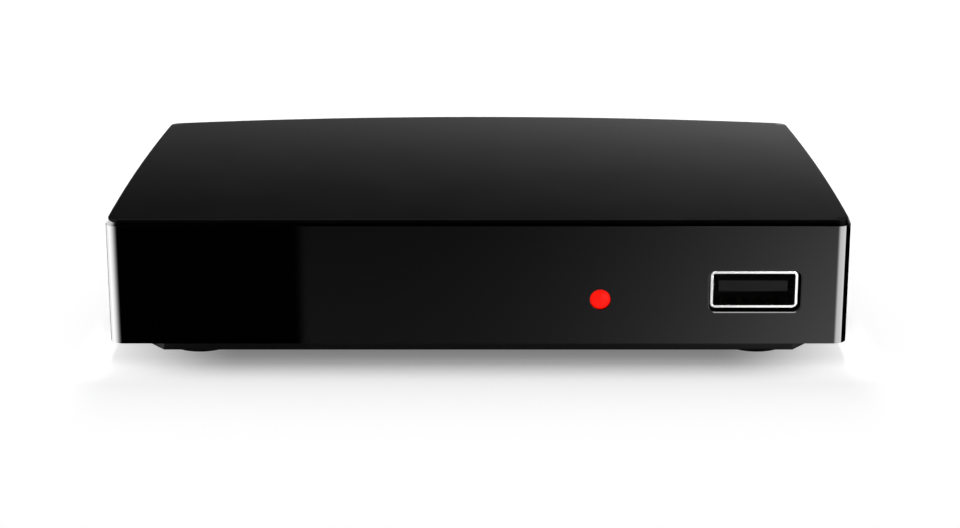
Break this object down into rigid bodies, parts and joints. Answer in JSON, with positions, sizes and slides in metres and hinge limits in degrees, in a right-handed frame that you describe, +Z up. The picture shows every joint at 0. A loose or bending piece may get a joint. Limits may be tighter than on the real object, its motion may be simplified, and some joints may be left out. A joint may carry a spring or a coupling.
{
  "type": "terrestrial tv decoder",
  "caption": "Small black set-top box with a gloss front, USB socket and red status lamp, aerial and video sockets at the back, standing on rubber feet.",
  "frame": {"origin": "on the table under the middle of the box, between the four feet", "axes": "+X along the width, to the viewer's right from the front; the front faces -Y; +Z is up"},
  "size_m": [0.1128, 0.0774, 0.022],
  "materials": {
    "satin_black": "fine satin texture",
    "gloss_black": "polished",
    "tray_black": "fine moulded texture",
    "panel_black": "moulded texture",
    "foot_rubber": "matt",
    "screw_steel": "zinc plated",
    "shell_nickel": "nickel plated sheet",
    "barrel_nickel": "nickel plated, turned",
    "insulator_black": "moulded",
    "insulator_white": "moulded",
    "contact_gold": "thin gold plating",
    "lamp_red": "tinted clear resin, lit",
    "lead_tin": "tinned",
    "receiver_dark": "dark filter resin",
    "board_green": "solder mask over glass laminate",
    "chip_black": "moulded compound",
    "pad_grey": "soft",
    "sink_black": "black anodised",
    "sleeve_blue": "shrink sleeve",
    "ferrite_grey": "sintered",
    "ceramic_tan": "fired",
    "tin_plate": "tin plated sheet",
    "jack_black": "moulded"
  },
  "bodies": {
    "case": {"top_cover": "satin_black", "front_fascia": "gloss_black", "base_tray": "tray_black", "rear_panel": "panel_black", "foot_front_left": "foot_rubber", "foot_front_right": "foot_rubber", "foot_rear_left": "foot_rubber", "foot_rear_right": "foot_rubber", "case_screws": "screw_steel", "usb_shell": "shell_nickel", "usb_insulator": "insulator_black", "status_led": "lamp_red", "led_leads": "lead_tin", "ir_receiver": "receiver_dark", "ir_leads": "lead_tin", "main_board": "board_green", "processor": "chip_black", "thermal_pad": "pad_grey", "heatsink": "sink_black", "memory_chip": "chip_black", "flash_chip": "chip_black", "crystal": "tin_plate", "bulk_capacitors": "sleeve_blue", "power_inductors": "ferrite_grey", "regulators": "chip_black", "chip_capacitors": "ceramic_tan", "av_driver": "chip_black", "tuner_can": "tin_plate", "tuner_lid": "tin_plate", "tuner_chip": "chip_black", "antenna_in_barrel": "barrel_nickel", "antenna_in_insulator": "insulator_white", "antenna_in_contact": "contact_gold", "antenna_out_barrel": "barrel_nickel", "antenna_out_insulator": "insulator_white", "antenna_out_pin": "barrel_nickel", "hdmi_shell": "shell_nickel", "hdmi_insulator": "insulator_black", "hdmi_contacts": "contact_gold", "av_jack_body": "jack_black", "av_jack_bushing": "barrel_nickel", "dc_jack_body": "jack_black", "dc_jack_pin": "barrel_nickel"},
    "usb_springs": {"usb_contacts": "contact_gold"},
    "av_spring": {"av_jack_spring": "contact_gold"},
    "dc_spring": {"dc_jack_spring": "contact_gold"}
  },
  "joints": [
    {"name": "usb_spring_flex", "type": "hinge", "parent": "case", "child": "usb_springs", "pos_m": [0.0415, -0.0278, 0.0109], "axis": [-1, 0, 0], "range_deg": [0, 4], "stiffness_Nm_per_rad": 0.09},
    {"name": "av_spring_flex", "type": "hinge", "parent": "case", "child": "av_spring", "pos_m": [0.021, 0.0165, 0.01339], "axis": [1, 0, 0], "range_deg": [0, 3.5], "stiffness_Nm_per_rad": 0.06},
    {"name": "dc_spring_flex", "type": "hinge", "parent": "case", "child": "dc_spring", "pos_m": [0.037, 0.017, 0.01111], "axis": [-1, 0, 0], "range_deg": [0, 3.5], "stiffness_Nm_per_rad": 0.06}
  ]
}
